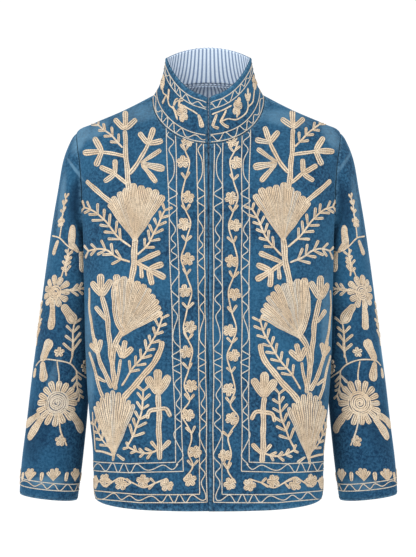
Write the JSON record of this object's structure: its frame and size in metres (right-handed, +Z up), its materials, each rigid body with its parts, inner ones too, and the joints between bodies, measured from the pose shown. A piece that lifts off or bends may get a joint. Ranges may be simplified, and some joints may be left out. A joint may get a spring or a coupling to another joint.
{
  "type": "embroidered velvet jacket",
  "caption": "Hip-length velvet jacket in its hollow worn shape: standing collar, open front edge to edge, set-in long sleeves, chain-stitch flower embroidery, striped lining.",
  "frame": {"origin": "middle of the neck opening, level with the shoulder seams at the neck, where the wearer carries the jacket", "axes": "+Z up along the body, -Y the way the wearer faces, +X towards the wearer's left, which is the viewer's right"},
  "size_m": [0.642, 0.2495, 0.777],
  "materials": {
    "velvet": "cotton velvet with a short brushed pile",
    "thread": "cream cotton thread in raised chain stitch",
    "striped_cotton": "plain woven cotton with narrow blue stripes"
  },
  "bodies": {
    "root": {"front_right": "velvet", "front_left": "velvet", "back": "velvet", "sleeve_right": "velvet", "sleeve_left": "velvet", "collar": "velvet", "collar_lining": "striped_cotton", "back_neck_lining": "striped_cotton"}
  },
  "joints": []
}
